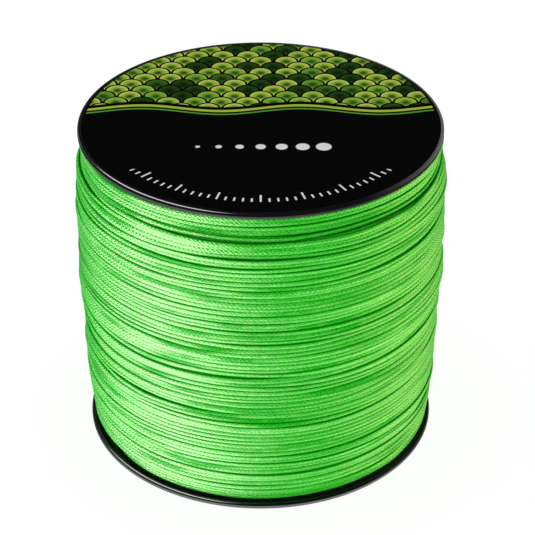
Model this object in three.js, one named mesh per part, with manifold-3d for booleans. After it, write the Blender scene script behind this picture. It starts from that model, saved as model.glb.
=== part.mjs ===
// Fishing line spool: two flanges with a rounded rim bead on a ribbed drum, a spindle tube through
// the middle, a printed label in the seat of each flange, and a heavy winding of braided line that
// bulges a little past the flanges. Millimetres, +Z up along the spool's axis, origin at the centre
// of the face that the spool stands on.
import * as THREE from "three";
import { mergeVertices } from "three/addons/utils/BufferGeometryUtils.js";
import Module from "manifold-3d";

// Driving dimensions of the spool
const SPOOL_HEIGHT = 72.1;
const FLANGE_RADIUS = 38;
const WEB_THICKNESS = 1.05;
const RIM_WIDTH = 0.7;
const RIM_ROUND = 0.5;
const RIM_CHAMFER = 0.1;
const LABEL_SEAT_DEPTH = 0.2;
const INNER_FACE_DEPTH = 0.15;

// Hub: the bore liner, the bosses that hold it, the drum and the rings that enter it
const BORE_RADIUS = 8;
const SPINDLE_TUBE_WALL = 1.5;
const BOSS_WALL = 1.6;
const BOSS_HEIGHT = 4;
const RIB_SPAN = 6.7;
const RIB_THICKNESS = 1.2;
const RIB_COUNT = 6;
const DRUM_WALL = 1.8;
const SPIGOT_WALL = 1.4;
const SPIGOT_HEIGHT = 5;
const SPIGOT_TO_RIB = 0.5;
const FIT_CLEARANCE = 0.15;
const SEAT_GAP = 0.1;

// Labels and tape
const LABEL_THICKNESS = 0.15;
const LABEL_MARGIN = 0.2;
const LABEL_HOLE_MARGIN = 1;
const LABEL_SHIFT_BACK = 0.12;
const GLUE_LINE = 0.02;
const TAPE_THICKNESS = 0.2;
const TAPE_WIDTH = 12;
const TAPE_LENGTH = 24;
const TAPE_FROM_FLANGE = 3;
const TAPE_GAP = 0.1;

// Winding: the outermost layer is counted in loops, and the strand's thickness follows from them
const OUTER_LOOPS = 24;
const STEPS_PER_LOOP = 24;
const STRAND_SIDES = 6;
const STRAND_GAP = 0.45;
const WINDING_GAP = 0.3;
const TUCK_BEND_SHARE = 1.2;
const TUCK_BEND_STEPS = 4;
const TUCK_SIDE = Math.PI / 2;

// Outline of the winding from the bottom flange to the top one: a share of the wound width, and
// there a share of the flange's radius
const WINDING_OUTLINE_SHARES = [
  [0, 0.96],
  [0.06, 0.992],
  [0.15, 1.0],
  [0.24, 1.01],
  [0.31, 1.016],
  [0.39, 1.01],
  [0.54, 1.035],
  [0.63, 1.024],
  [0.72, 1.03],
  [0.83, 1.025],
  [0.91, 1.007],
  [0.95, 0.994],
  [1, 1.0],
];
const CORE_OUTLINE_STEPS = 16;

// Fineness of the turned shapes, and how far a cutter reaches past what it cuts
const TURN_STEPS = 48;
const ROUND_STEPS = 2;
const OVERRUN = 1;

// Sizes that follow
const RIM_THICKNESS = WEB_THICKNESS + LABEL_SEAT_DEPTH + INNER_FACE_DEPTH;
const SEAT_RADIUS = FLANGE_RADIUS - RIM_WIDTH;
const WEB_INNER_FACE = LABEL_SEAT_DEPTH + WEB_THICKNESS;
const SPINDLE_TUBE_RADIUS = BORE_RADIUS + SPINDLE_TUBE_WALL;
const DRUM_INNER_RADIUS = SPINDLE_TUBE_RADIUS + RIB_SPAN;
const DRUM_RADIUS = DRUM_INNER_RADIUS + DRUM_WALL;
const LABEL_RADIUS = SEAT_RADIUS - LABEL_MARGIN;
const WOUND_WIDTH = SPOOL_HEIGHT - 2 * RIM_THICKNESS;
const USABLE_WIDTH = WOUND_WIDTH - 2 * WINDING_GAP;
const STRAND_DIAMETER = (USABLE_WIDTH - OUTER_LOOPS * STRAND_GAP) / (OUTER_LOOPS + 1);
const STRAND_RADIUS = STRAND_DIAMETER / 2;
const LOOP_PITCH = STRAND_DIAMETER + STRAND_GAP;
const FIRST_TURN_HEIGHT = RIM_THICKNESS + WINDING_GAP + STRAND_RADIUS;
const TUCK_BEND = STRAND_DIAMETER * TUCK_BEND_SHARE;
const CHORD_SAG = FLANGE_RADIUS * (1 - Math.cos(Math.PI / STEPS_PER_LOOP));
const PACK_INNER_RADIUS = DRUM_RADIUS + TAPE_THICKNESS + 2 * TAPE_GAP;
const PACK_BOTTOM = RIM_THICKNESS + WINDING_GAP;
const PACK_TOP = SPOOL_HEIGHT - PACK_BOTTOM;

const wasm = await Module();
wasm.setup();

const UP = new THREE.Vector3(0, 0, 1);

const finishes = {
  flange: new THREE.MeshStandardMaterial({ color: 0x0b0c0d, roughness: 0.22, metalness: 0 }),
  drum: new THREE.MeshStandardMaterial({ color: 0x141516, roughness: 0.4, metalness: 0 }),
  label: new THREE.MeshStandardMaterial({ color: 0x070807, roughness: 0.18, metalness: 0 }),
  tape: new THREE.MeshStandardMaterial({ color: 0xe6dfc4, roughness: 0.8, metalness: 0 }),
  line: new THREE.MeshStandardMaterial({ color: 0x4fc53d, roughness: 0.55, metalness: 0 }),
};

// Solid of revolution round the spool's axis, from a closed outline of [radius, height] points.
function turned(outline) {
  const points = outline.map(([radius, height]) => new THREE.Vector2(radius, height));
  if (THREE.ShapeUtils.area(points) < 0) points.reverse();
  points.push(points[0].clone());
  return new THREE.LatheGeometry(points, TURN_STEPS).rotateX(Math.PI / 2);
}

// Points of an arc in an outline, from one angle to another, in degrees.
function arc([radius, height], size, from, to) {
  return Array.from({ length: ROUND_STEPS + 1 }, (_, step) => {
    const angle = THREE.MathUtils.degToRad(from + ((to - from) * step) / ROUND_STEPS);
    return [radius + size * Math.cos(angle), height + size * Math.sin(angle)];
  });
}

function solidFrom(geometry) {
  const bare = geometry.index ? geometry.toNonIndexed() : geometry.clone();
  bare.deleteAttribute("normal");
  bare.deleteAttribute("uv");
  const merged = mergeVertices(bare);
  const mesh = new wasm.Mesh({
    numProp: 3,
    vertProperties: merged.attributes.position.array,
    triVerts: new Uint32Array(merged.index.array),
  });
  return new wasm.Manifold(mesh);
}

function geometryFrom(solid) {
  const { vertProperties, triVerts } = solid.getMesh();
  const geometry = new THREE.BufferGeometry();
  geometry.setAttribute("position", new THREE.BufferAttribute(vertProperties, 3));
  geometry.setIndex(new THREE.BufferAttribute(triVerts, 1));
  geometry.computeVertexNormals();
  return geometry;
}

// Box between two corners.
function block(low, high) {
  const size = high.clone().sub(low);
  const middle = low.clone().add(high).multiplyScalar(1 / 2);
  return new THREE.BoxGeometry(size.x, size.y, size.z).translate(middle.x, middle.y, middle.z);
}

// Radius of the winding's outline at a height, eased from one point of the outline to the next.
function windingRadius(height) {
  const share = THREE.MathUtils.clamp((height - RIM_THICKNESS) / WOUND_WIDTH, 0, 1);
  const next = Math.max(1, WINDING_OUTLINE_SHARES.findIndex(([at]) => at >= share));
  const [fromShare, fromRadius] = WINDING_OUTLINE_SHARES[next - 1];
  const [toShare, toRadius] = WINDING_OUTLINE_SHARES[next];
  const ease = THREE.MathUtils.smoothstep(share, fromShare, toShare);
  return FLANGE_RADIUS * THREE.MathUtils.lerp(fromRadius, toRadius, ease);
}

// Flange outline, with heights counted inwards from the flange's outer face: label seat, rim bead,
// inner face, the ring that enters the drum, and the boss that takes the spindle tube.
function flangeOutline() {
  const spigotRadius = DRUM_INNER_RADIUS - FIT_CLEARANCE;
  const socketRadius = SPINDLE_TUBE_RADIUS + FIT_CLEARANCE;
  const roundCentre = FLANGE_RADIUS - RIM_ROUND;
  return [
    [BORE_RADIUS, LABEL_SEAT_DEPTH],
    [SEAT_RADIUS, LABEL_SEAT_DEPTH],
    [SEAT_RADIUS, RIM_CHAMFER],
    [SEAT_RADIUS + RIM_CHAMFER, 0],
    ...arc([roundCentre, RIM_ROUND], RIM_ROUND, -90, 0),
    ...arc([roundCentre, RIM_THICKNESS - RIM_ROUND], RIM_ROUND, 0, 90),
    [SEAT_RADIUS + RIM_CHAMFER, RIM_THICKNESS],
    [SEAT_RADIUS, WEB_INNER_FACE],
    [spigotRadius, WEB_INNER_FACE],
    [spigotRadius, WEB_INNER_FACE + SPIGOT_HEIGHT],
    [spigotRadius - SPIGOT_WALL, WEB_INNER_FACE + SPIGOT_HEIGHT],
    [spigotRadius - SPIGOT_WALL, WEB_INNER_FACE],
    [socketRadius + BOSS_WALL, WEB_INNER_FACE],
    [socketRadius + BOSS_WALL, WEB_INNER_FACE + BOSS_HEIGHT],
    [socketRadius, WEB_INNER_FACE + BOSS_HEIGHT],
    [socketRadius, WEB_INNER_FACE],
    [BORE_RADIUS, WEB_INNER_FACE],
  ];
}

function bottomFlange() {
  return turned(flangeOutline());
}

function topFlange() {
  return turned(flangeOutline().map(([radius, height]) => [radius, SPOOL_HEIGHT - height]));
}

// Drum tube with ribs that reach in to the spindle tube, clear of both flanges' rings.
function drum() {
  const bottom = WEB_INNER_FACE + SEAT_GAP;
  const top = SPOOL_HEIGHT - bottom;
  const shell = turned([
    [DRUM_INNER_RADIUS, bottom],
    [DRUM_RADIUS, bottom],
    [DRUM_RADIUS, top],
    [DRUM_INNER_RADIUS, top],
  ]);
  const ribBottom = WEB_INNER_FACE + SPIGOT_HEIGHT + SPIGOT_TO_RIB;
  const rib = block(
    new THREE.Vector3(SPINDLE_TUBE_RADIUS + FIT_CLEARANCE, -RIB_THICKNESS / 2, ribBottom),
    new THREE.Vector3(DRUM_RADIUS - DRUM_WALL / 2, RIB_THICKNESS / 2, SPOOL_HEIGHT - ribBottom),
  );
  let solid = solidFrom(shell);
  for (let i = 0; i < RIB_COUNT; i += 1) {
    solid = solid.add(solidFrom(rib.clone().rotateZ((2 * Math.PI * i) / RIB_COUNT)));
  }
  return geometryFrom(solid);
}

function spindleTube() {
  const bottom = WEB_INNER_FACE + SEAT_GAP;
  const top = SPOOL_HEIGHT - bottom;
  return turned([
    [BORE_RADIUS, bottom],
    [SPINDLE_TUBE_RADIUS, bottom],
    [SPINDLE_TUBE_RADIUS, top],
    [BORE_RADIUS, top],
  ]);
}

function topLabel() {
  const underside = SPOOL_HEIGHT - LABEL_SEAT_DEPTH + GLUE_LINE;
  return new THREE.CylinderGeometry(LABEL_RADIUS, LABEL_RADIUS, LABEL_THICKNESS, TURN_STEPS)
    .rotateX(Math.PI / 2)
    .translate(0, LABEL_SHIFT_BACK, underside + LABEL_THICKNESS / 2);
}

function bottomLabel() {
  const upper = LABEL_SEAT_DEPTH - GLUE_LINE;
  const lower = upper - LABEL_THICKNESS;
  const holeRadius = BORE_RADIUS + LABEL_HOLE_MARGIN;
  return turned([
    [holeRadius, lower],
    [LABEL_RADIUS, lower],
    [LABEL_RADIUS, upper],
    [holeRadius, upper],
  ]);
}

// Tape over the first end of the line, bent round the drum near the bottom flange.
function startTape() {
  const inner = DRUM_RADIUS + TAPE_GAP;
  const outer = inner + TAPE_THICKNESS;
  const halfAngle = TAPE_LENGTH / 2 / inner;
  const steps = Math.ceil((halfAngle * TURN_STEPS) / Math.PI);
  const onArc = (radius, step) => {
    const angle = -halfAngle + (2 * halfAngle * step) / steps;
    return new THREE.Vector2(radius * Math.cos(angle), radius * Math.sin(angle));
  };
  const count = Array.from({ length: steps + 1 }, (_, step) => step);
  const outline = [
    ...count.map((step) => onArc(outer, step)),
    ...count.map((step) => onArc(inner, steps - step)),
  ];
  return new THREE.ExtrudeGeometry(new THREE.Shape(outline), {
    depth: TAPE_WIDTH,
    bevelEnabled: false,
  }).translate(0, 0, WEB_INNER_FACE + TAPE_FROM_FLANGE);
}

// Centre line of the outermost layer, with its ends on the +X side: both are tucked square into the
// layers below, and the winding is turned afterwards to bring them to the back.
function layerRoute() {
  const loops = OUTER_LOOPS * STEPS_PER_LOOP;
  const route = [];
  for (let step = 0; step <= loops; step += 1) {
    const height = FIRST_TURN_HEIGHT + (LOOP_PITCH * step) / STEPS_PER_LOOP;
    const radius = windingRadius(height) - STRAND_RADIUS;
    const angle = (2 * Math.PI * step) / STEPS_PER_LOOP;
    route.push(new THREE.Vector3(radius * Math.cos(angle), radius * Math.sin(angle), height));
  }
  const tuck = (start, side) => {
    const points = [];
    for (let step = 1; step <= TUCK_BEND_STEPS; step += 1) {
      const angle = (Math.PI / 2) * (step / TUCK_BEND_STEPS);
      const inwards = TUCK_BEND * (1 - Math.cos(angle));
      const onwards = side * TUCK_BEND * Math.sin(angle);
      points.push(start.clone().add(new THREE.Vector3(-inwards, onwards, 0)));
    }
    const bent = points[points.length - 1];
    points.push(bent.clone().add(new THREE.Vector3(-STRAND_DIAMETER, 0, 0)));
    return points;
  };
  const before = tuck(route[0], -1).reverse();
  const after = tuck(route[loops], 1);
  return [...before, ...route, ...after];
}

// Least clear distance between stretches of the strand that lie more than a few diameters apart
// along it.
function leastGap(route) {
  const along = [0];
  for (let i = 1; i < route.length; i += 1) {
    along.push(along[i - 1] + route[i].distanceTo(route[i - 1]));
  }
  const apart = 3 * STRAND_DIAMETER;
  let least = Infinity;
  for (let i = 0; i < route.length; i += 1) {
    for (let j = i + 1; j < route.length; j += 1) {
      if (along[j] - along[i] > apart) least = Math.min(least, route[i].distanceTo(route[j]));
    }
  }
  return least - STRAND_DIAMETER;
}

// Closed tube of flat sides along a route that never stands upright.
function tubeAlong(route) {
  const vertices = [];
  const triangles = [];
  const last = route.length - 1;
  route.forEach((point, i) => {
    const ahead = route[Math.min(i + 1, last)];
    const behind = route[Math.max(i - 1, 0)];
    const along = ahead.clone().sub(behind).normalize();
    const outward = along.clone().cross(UP).normalize();
    const upward = outward.clone().cross(along);
    for (let side = 0; side < STRAND_SIDES; side += 1) {
      const angle = (2 * Math.PI * side) / STRAND_SIDES;
      const corner = point
        .clone()
        .addScaledVector(outward, STRAND_RADIUS * Math.cos(angle))
        .addScaledVector(upward, STRAND_RADIUS * Math.sin(angle));
      vertices.push(corner.x, corner.y, corner.z);
    }
  });
  for (let i = 0; i < last; i += 1) {
    for (let side = 0; side < STRAND_SIDES; side += 1) {
      const here = i * STRAND_SIDES + side;
      const beside = i * STRAND_SIDES + ((side + 1) % STRAND_SIDES);
      triangles.push(here, here + STRAND_SIDES, beside);
      triangles.push(beside, here + STRAND_SIDES, beside + STRAND_SIDES);
    }
  }
  const end = last * STRAND_SIDES;
  for (let side = 1; side < STRAND_SIDES - 1; side += 1) {
    triangles.push(0, side, side + 1);
    triangles.push(end, end + side + 1, end + side);
  }
  const geometry = new THREE.BufferGeometry();
  geometry.setAttribute("position", new THREE.Float32BufferAttribute(vertices, 3));
  geometry.setIndex(triangles);
  geometry.computeVertexNormals();
  return geometry;
}

// Inner layers as one ring under the outermost layer, with a notch at each end face where the
// outer layer's end is tucked in.
function linePack(route) {
  const under = STRAND_DIAMETER + CHORD_SAG + WINDING_GAP;
  const outline = [[PACK_INNER_RADIUS, PACK_TOP], [PACK_INNER_RADIUS, PACK_BOTTOM]];
  for (let step = 0; step <= CORE_OUTLINE_STEPS; step += 1) {
    const height = THREE.MathUtils.lerp(PACK_BOTTOM, PACK_TOP, step / CORE_OUTLINE_STEPS);
    outline.push([windingRadius(height) - under, height]);
  }
  const reach = STRAND_RADIUS + WINDING_GAP;
  const notch = (tip, side, low, high) => {
    const far = side * (TUCK_BEND + reach);
    const near = -side * WINDING_GAP;
    return block(
      new THREE.Vector3(tip.x - WINDING_GAP, Math.min(far, near), low),
      new THREE.Vector3(FLANGE_RADIUS, Math.max(far, near), high),
    );
  };
  const first = route[0];
  const last = route[route.length - 1];
  return geometryFrom(
    solidFrom(turned(outline))
      .subtract(solidFrom(notch(first, -1, PACK_BOTTOM - OVERRUN, first.z + reach)))
      .subtract(solidFrom(notch(last, 1, last.z - reach, PACK_TOP + OVERRUN))),
  );
}

const spool = new THREE.Group();

function addPiece(name, geometry, finish) {
  const mesh = new THREE.Mesh(geometry, finish);
  mesh.name = name;
  spool.add(mesh);
}

const outerRoute = layerRoute();
console.log(`line_outer_layer: strand ${STRAND_DIAMETER.toFixed(2)} mm`);
console.log(`line_outer_layer: least gap to itself ${leastGap(outerRoute).toFixed(2)} mm`);

addPiece("bottom_flange", bottomFlange(), finishes.flange);
addPiece("top_flange", topFlange(), finishes.flange);
addPiece("drum", drum(), finishes.drum);
addPiece("spindle_tube", spindleTube(), finishes.drum);
addPiece("top_label", topLabel(), finishes.label);
addPiece("bottom_label", bottomLabel(), finishes.label);
addPiece("start_tape", startTape(), finishes.tape);
addPiece("line_pack", linePack(outerRoute).rotateZ(TUCK_SIDE), finishes.line);
addPiece("line_outer_layer", tubeAlong(outerRoute).rotateZ(TUCK_SIDE), finishes.line);

export default spool;
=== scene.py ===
"""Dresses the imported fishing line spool: flanges, hub, labels and the wound braided line."""

import sys
import logging
import math
from contextlib import contextmanager
from dataclasses import dataclass, field
from enum import Enum
from typing import Callable, Iterator, Optional, Union

import bmesh
import bpy
import numpy as np
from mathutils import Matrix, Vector


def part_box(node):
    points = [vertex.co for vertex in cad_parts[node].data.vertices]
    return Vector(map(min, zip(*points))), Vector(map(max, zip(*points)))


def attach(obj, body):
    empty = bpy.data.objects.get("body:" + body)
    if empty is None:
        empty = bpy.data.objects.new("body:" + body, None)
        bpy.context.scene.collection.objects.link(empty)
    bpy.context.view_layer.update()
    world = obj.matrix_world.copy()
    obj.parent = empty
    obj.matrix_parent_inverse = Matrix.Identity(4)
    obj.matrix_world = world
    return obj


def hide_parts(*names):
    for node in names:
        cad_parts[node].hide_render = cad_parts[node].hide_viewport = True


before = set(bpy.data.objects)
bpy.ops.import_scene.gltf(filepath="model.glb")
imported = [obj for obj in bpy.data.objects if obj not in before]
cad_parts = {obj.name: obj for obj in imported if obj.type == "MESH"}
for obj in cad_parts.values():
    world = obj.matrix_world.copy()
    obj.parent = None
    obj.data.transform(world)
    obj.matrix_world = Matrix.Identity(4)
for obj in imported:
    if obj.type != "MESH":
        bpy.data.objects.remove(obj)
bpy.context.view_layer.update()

LOG = logging.getLogger("spool")
MM = 0.001
ROOT_BODY = "root"
START_ANGLE = math.radians(90)
WHITE = (1.0, 1.0, 1.0, 1.0)
SATIN_BLACK = (0.012, 0.0125, 0.013, 1.0)
GLOSS_BLACK = (0.006, 0.0065, 0.007, 1.0)
# Points this near are one, and a normal this upright is a level face's
SAME_PLACE = 0.01 * MM
SAME_LEVEL = 0.001 * MM
LEVEL_FACE = 0.9

Colour = tuple[float, float, float, float]
Pair = tuple[float, float]


class End(Enum):
    """Which end of the spool a flange or label belongs to."""

    BOTTOM = "bottom"
    TOP = "top"


# Sizes shared by the sub-assemblies


@dataclass(frozen=True)
class SpoolSizes:
    """Sizes of the spool, in metres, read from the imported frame."""

    height: float
    flange_radius: float
    drum_radius: float
    drum_inner_radius: float
    tube_radius: float
    label_radius: float
    rim_thickness: float = 1.4 * MM
    rim_width: float = 0.7 * MM
    rim_round: float = 0.5 * MM
    rim_chamfer: float = 0.1 * MM
    seat_depth: float = 0.2 * MM
    inner_depth: float = 0.15 * MM
    bore_radius: float = 8.0 * MM
    drum_wall: float = 1.8 * MM

    @property
    def seat_radius(self) -> float:
        """Radius of the label seat, inside the rim bead."""
        return self.flange_radius - self.rim_width

    @property
    def web_inner(self) -> float:
        """Height of the web's inner face above the flange's outer plane."""
        return self.rim_thickness - self.inner_depth

    @classmethod
    def from_frame(cls) -> "SpoolSizes":
        """Reads the sizes that the frame's boxes give.

        Returns:
            The sizes of this spool.
        """
        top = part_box("top_flange")[1]
        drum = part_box("drum")[1]
        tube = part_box("spindle_tube")[1]
        label_low, label_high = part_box("top_label")
        return cls(
            height=top[2],
            flange_radius=top[0],
            drum_radius=drum[0],
            drum_inner_radius=drum[0] - cls.drum_wall,
            tube_radius=tube[0],
            label_radius=(label_high[0] - label_low[0]) / 2,
        )


# Mesh work


class Bench:
    """The modelling bench: operators on one object at a time, with nothing else selected."""

    @staticmethod
    def clear() -> None:
        """Leaves edit mode and deselects everything."""
        if bpy.context.mode != "OBJECT":
            bpy.ops.object.mode_set(mode="OBJECT")
        bpy.ops.object.select_all(action="DESELECT")

    @classmethod
    def take(cls, obj: bpy.types.Object) -> None:
        """Makes one object the active and only selected one."""
        cls.clear()
        obj.select_set(True)
        bpy.context.view_layer.objects.active = obj

    @classmethod
    def cylinder(
        cls, name: str, radius: float, low: float, high: float, facets: int
    ) -> bpy.types.Object:
        """Adds a cylinder primitive on the spool's axis as the start of a turned piece.

        Args:
            name: The piece's name.
            radius: Its radius.
            low: Height of its lower face.
            high: Height of its upper face.
            facets: How many sides it has.

        Returns:
            The new object.
        """
        cls.clear()
        bpy.ops.mesh.primitive_cylinder_add(
            vertices=facets, radius=radius, depth=high - low, location=(0, 0, (low + high) / 2)
        )
        obj = bpy.context.object
        obj.name = obj.data.name = name
        bpy.ops.object.transform_apply(location=True, rotation=True, scale=True)
        return obj

    @classmethod
    @contextmanager
    def editing(cls, obj: bpy.types.Object) -> Iterator[None]:
        """Edit mode on one object, with nothing in it selected.

        Args:
            obj: The object to edit.
        """
        cls.take(obj)
        bpy.ops.object.mode_set(mode="EDIT")
        bpy.ops.mesh.select_all(action="DESELECT")
        yield
        bpy.ops.object.mode_set(mode="OBJECT")

    @staticmethod
    def pick_faces(obj: bpy.types.Object, wanted: Callable[[Vector, Vector], bool]) -> None:
        """Selects the faces whose middle and normal pass a test, and no others.

        Args:
            obj: The object in edit mode.
            wanted: Test of a face's middle and normal.
        """
        bpy.ops.mesh.select_all(action="DESELECT")
        bpy.ops.mesh.select_mode(type="FACE")
        shape = bmesh.from_edit_mesh(obj.data)
        for face in shape.faces:
            face.select_set(wanted(face.calc_center_median(), face.normal))
        bmesh.update_edit_mesh(obj.data)

    @classmethod
    def pick_middle(cls, obj: bpy.types.Object, x: float = 0.0, y: float = 0.0) -> None:
        """Selects the faces whose middle lies on the upright line through a place."""
        cls.pick_faces(
            obj, lambda middle, _: math.hypot(middle.x - x, middle.y - y) < SAME_PLACE
        )

    @staticmethod
    def pick_circle(obj: bpy.types.Object, radius: float, planes: tuple = ()) -> None:
        """Selects the edges that lie flat on a circle round the spool's axis, and no others.

        Args:
            obj: The object in edit mode.
            radius: The circle's radius.
            planes: Heights that it may lie at, or none for any height.
        """
        bpy.ops.mesh.select_all(action="DESELECT")
        bpy.ops.mesh.select_mode(type="EDGE")
        shape = bmesh.from_edit_mesh(obj.data)
        for edge in shape.edges:
            start, end = (vertex.co for vertex in edge.verts)
            level = abs(start.z - end.z) < SAME_LEVEL
            in_plane = not planes or min(abs(start.z - plane) for plane in planes) < SAME_LEVEL
            off = max(abs(spread(start) - radius), abs(spread(end) - radius))
            edge.select_set(level and in_plane and off < 2 * SAME_PLACE)
        bmesh.update_edit_mesh(obj.data)

    @classmethod
    def bore(cls, obj: bpy.types.Object, radius: float) -> None:
        """Opens the two middle faces of a piece and joins their rims with a round wall.

        Args:
            obj: The object in edit mode.
            radius: Radius of both faces.
        """
        cls.pick_middle(obj)
        bpy.ops.mesh.delete(type="FACE")
        cls.pick_circle(obj, radius)
        bpy.ops.mesh.bridge_edge_loops()

    @classmethod
    def smooth(cls, obj: bpy.types.Object, degrees: float = 35.0) -> None:
        """Shades a piece smooth, with sharp edges past an angle in degrees."""
        cls.take(obj)
        bpy.ops.object.shade_smooth_by_angle(angle=math.radians(degrees))

    @classmethod
    def soften(
        cls, obj: bpy.types.Object, width: float, segments: int, degrees: float = 50.0
    ) -> None:
        """Rounds a piece's sharp edges with an applied Bevel modifier.

        Args:
            obj: The piece.
            width: Width of each bevel.
            segments: How many faces round each edge.
            degrees: Edges that turn by more than this are rounded.
        """
        cls.take(obj)
        bevel = obj.modifiers.new("edge_round", "BEVEL")
        bevel.width = width
        bevel.segments = segments
        bevel.limit_method = "ANGLE"
        bevel.angle_limit = math.radians(degrees)
        bpy.ops.object.modifier_apply(modifier=bevel.name)

    @classmethod
    def close(cls, obj: bpy.types.Object) -> None:
        """Merges doubled vertices and points every face outwards.

        Args:
            obj: The piece.
        """
        with cls.editing(obj):
            bpy.ops.mesh.select_all(action="SELECT")
            bpy.ops.mesh.remove_doubles(threshold=SAME_LEVEL)
            bpy.ops.mesh.normals_make_consistent(inside=False)


def spread(point: Vector) -> float:
    """Distance of a point from the spool's axis."""
    return math.hypot(point.x, point.y)


# Materials


Number = Union[float, "Wire"]


def plug(tree: bpy.types.NodeTree, value: object, slot: bpy.types.NodeSocket) -> None:
    """Links a wire or socket to an input, or sets a constant there.

    Args:
        tree: The nodes' tree.
        value: A wire, an output socket or a constant.
        slot: The input.
    """
    source = value.socket if isinstance(value, Wire) else value
    if isinstance(source, bpy.types.NodeSocket):
        tree.links.new(source, slot)
    else:
        slot.default_value = source


def add_node(
    tree: bpy.types.NodeTree, kind: str, inputs: Optional[dict] = None, **settings: object
) -> bpy.types.Node:
    """Adds a shader node.

    Args:
        tree: The tree that it goes in.
        kind: Its type, without the words that all of them begin with.
        inputs: What is linked to or set on its inputs, by their names or numbers.
        **settings: Its own settings, which are made first.

    Returns:
        The node.
    """
    node = tree.nodes.new("ShaderNode" + kind)
    for name, value in settings.items():
        setattr(node, name, value)
    for slot, value in (inputs or {}).items():
        plug(tree, value, node.inputs[slot])
    return node


class Wire:
    """A number that runs through a material's nodes, with plain arithmetic on it."""

    def __init__(self, tree: bpy.types.NodeTree, socket: bpy.types.NodeSocket) -> None:
        """Keeps the tree and the output socket that carries the number."""
        self.tree = tree
        self.socket = socket

    def maths(self, operation: str, *others: Number) -> "Wire":
        """Adds a Math node after this number.

        Args:
            operation: The node's operation.
            *others: The operation's further numbers.

        Returns:
            The node's result.
        """
        numbers = dict(enumerate((self, *others)))
        node = add_node(self.tree, "Math", numbers, operation=operation)
        return Wire(self.tree, node.outputs[0])

    def __add__(self, other: Number) -> "Wire":
        """Sum with another number."""
        return self.maths("ADD", other)

    def __sub__(self, other: Number) -> "Wire":
        """Difference from another number."""
        return self.maths("SUBTRACT", other)

    def __mul__(self, other: Number) -> "Wire":
        """Product with another number."""
        return self.maths("MULTIPLY", other)

    def __truediv__(self, other: Number) -> "Wire":
        """Quotient by another number."""
        return self.maths("DIVIDE", other)

    def flipped(self) -> "Wire":
        """One minus this number."""
        return self * -1.0 + 1.0

    def size(self) -> "Wire":
        """The number without its sign."""
        return self.maths("ABSOLUTE")

    def above(self, limit: Number) -> "Wire":
        """1 where the number is over a limit, else 0."""
        return self.maths("GREATER_THAN", limit)

    def ease(self, low: float, high: float) -> "Wire":
        """Smooth step from 0 at one value to 1 at another.

        Args:
            low: Value that gives 0.
            high: Value that gives 1.

        Returns:
            The eased number.
        """
        inputs = {"Value": self, "From Min": low, "From Max": high}
        node = add_node(self.tree, "MapRange", inputs, interpolation_type="SMOOTHSTEP")
        return Wire(self.tree, node.outputs["Result"])


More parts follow.
